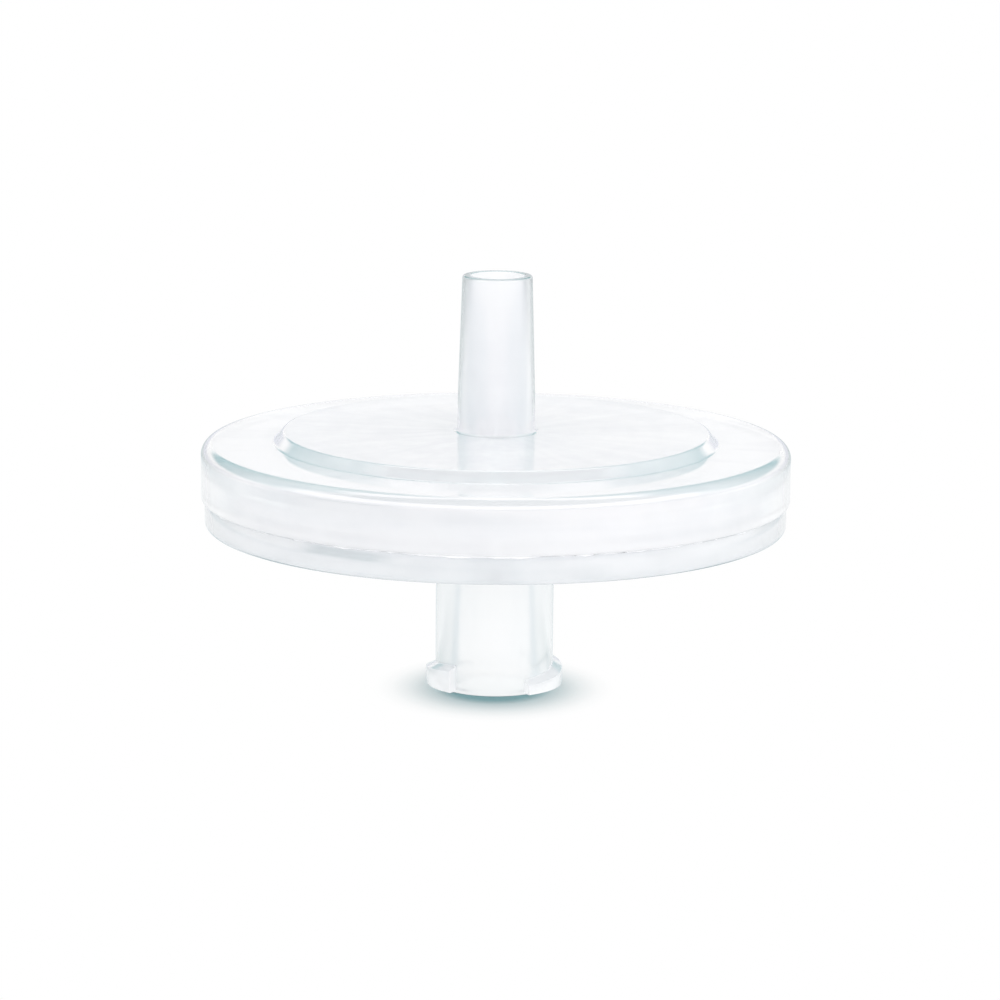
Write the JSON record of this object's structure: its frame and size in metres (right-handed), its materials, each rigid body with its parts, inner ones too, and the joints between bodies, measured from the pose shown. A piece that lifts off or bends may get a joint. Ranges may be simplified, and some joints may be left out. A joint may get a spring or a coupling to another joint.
{
  "type": "syringe filter",
  "caption": "Round disc syringe filter: two welded translucent shells clamp a membrane between a female luer-lock inlet hub and a tapered male luer slip outlet.",
  "frame": {"origin": "centre of the open end of the inlet hub, on the plane that the filter stands on", "axes": "+Z along the common axis, from the inlet hub to the outlet tip; X and Y lie in the foot plane, and the first lug's low end is 59 degrees clockwise from +X seen from above"},
  "size_m": [0.0335, 0.0334, 0.0236],
  "materials": {
    "inlet_shell": "satin",
    "membrane": "matte",
    "outlet_shell": "gloss"
  },
  "bodies": {
    "root": {"inlet_housing": "inlet_shell", "filter_membrane": "membrane", "outlet_housing": "outlet_shell"}
  },
  "joints": []
}
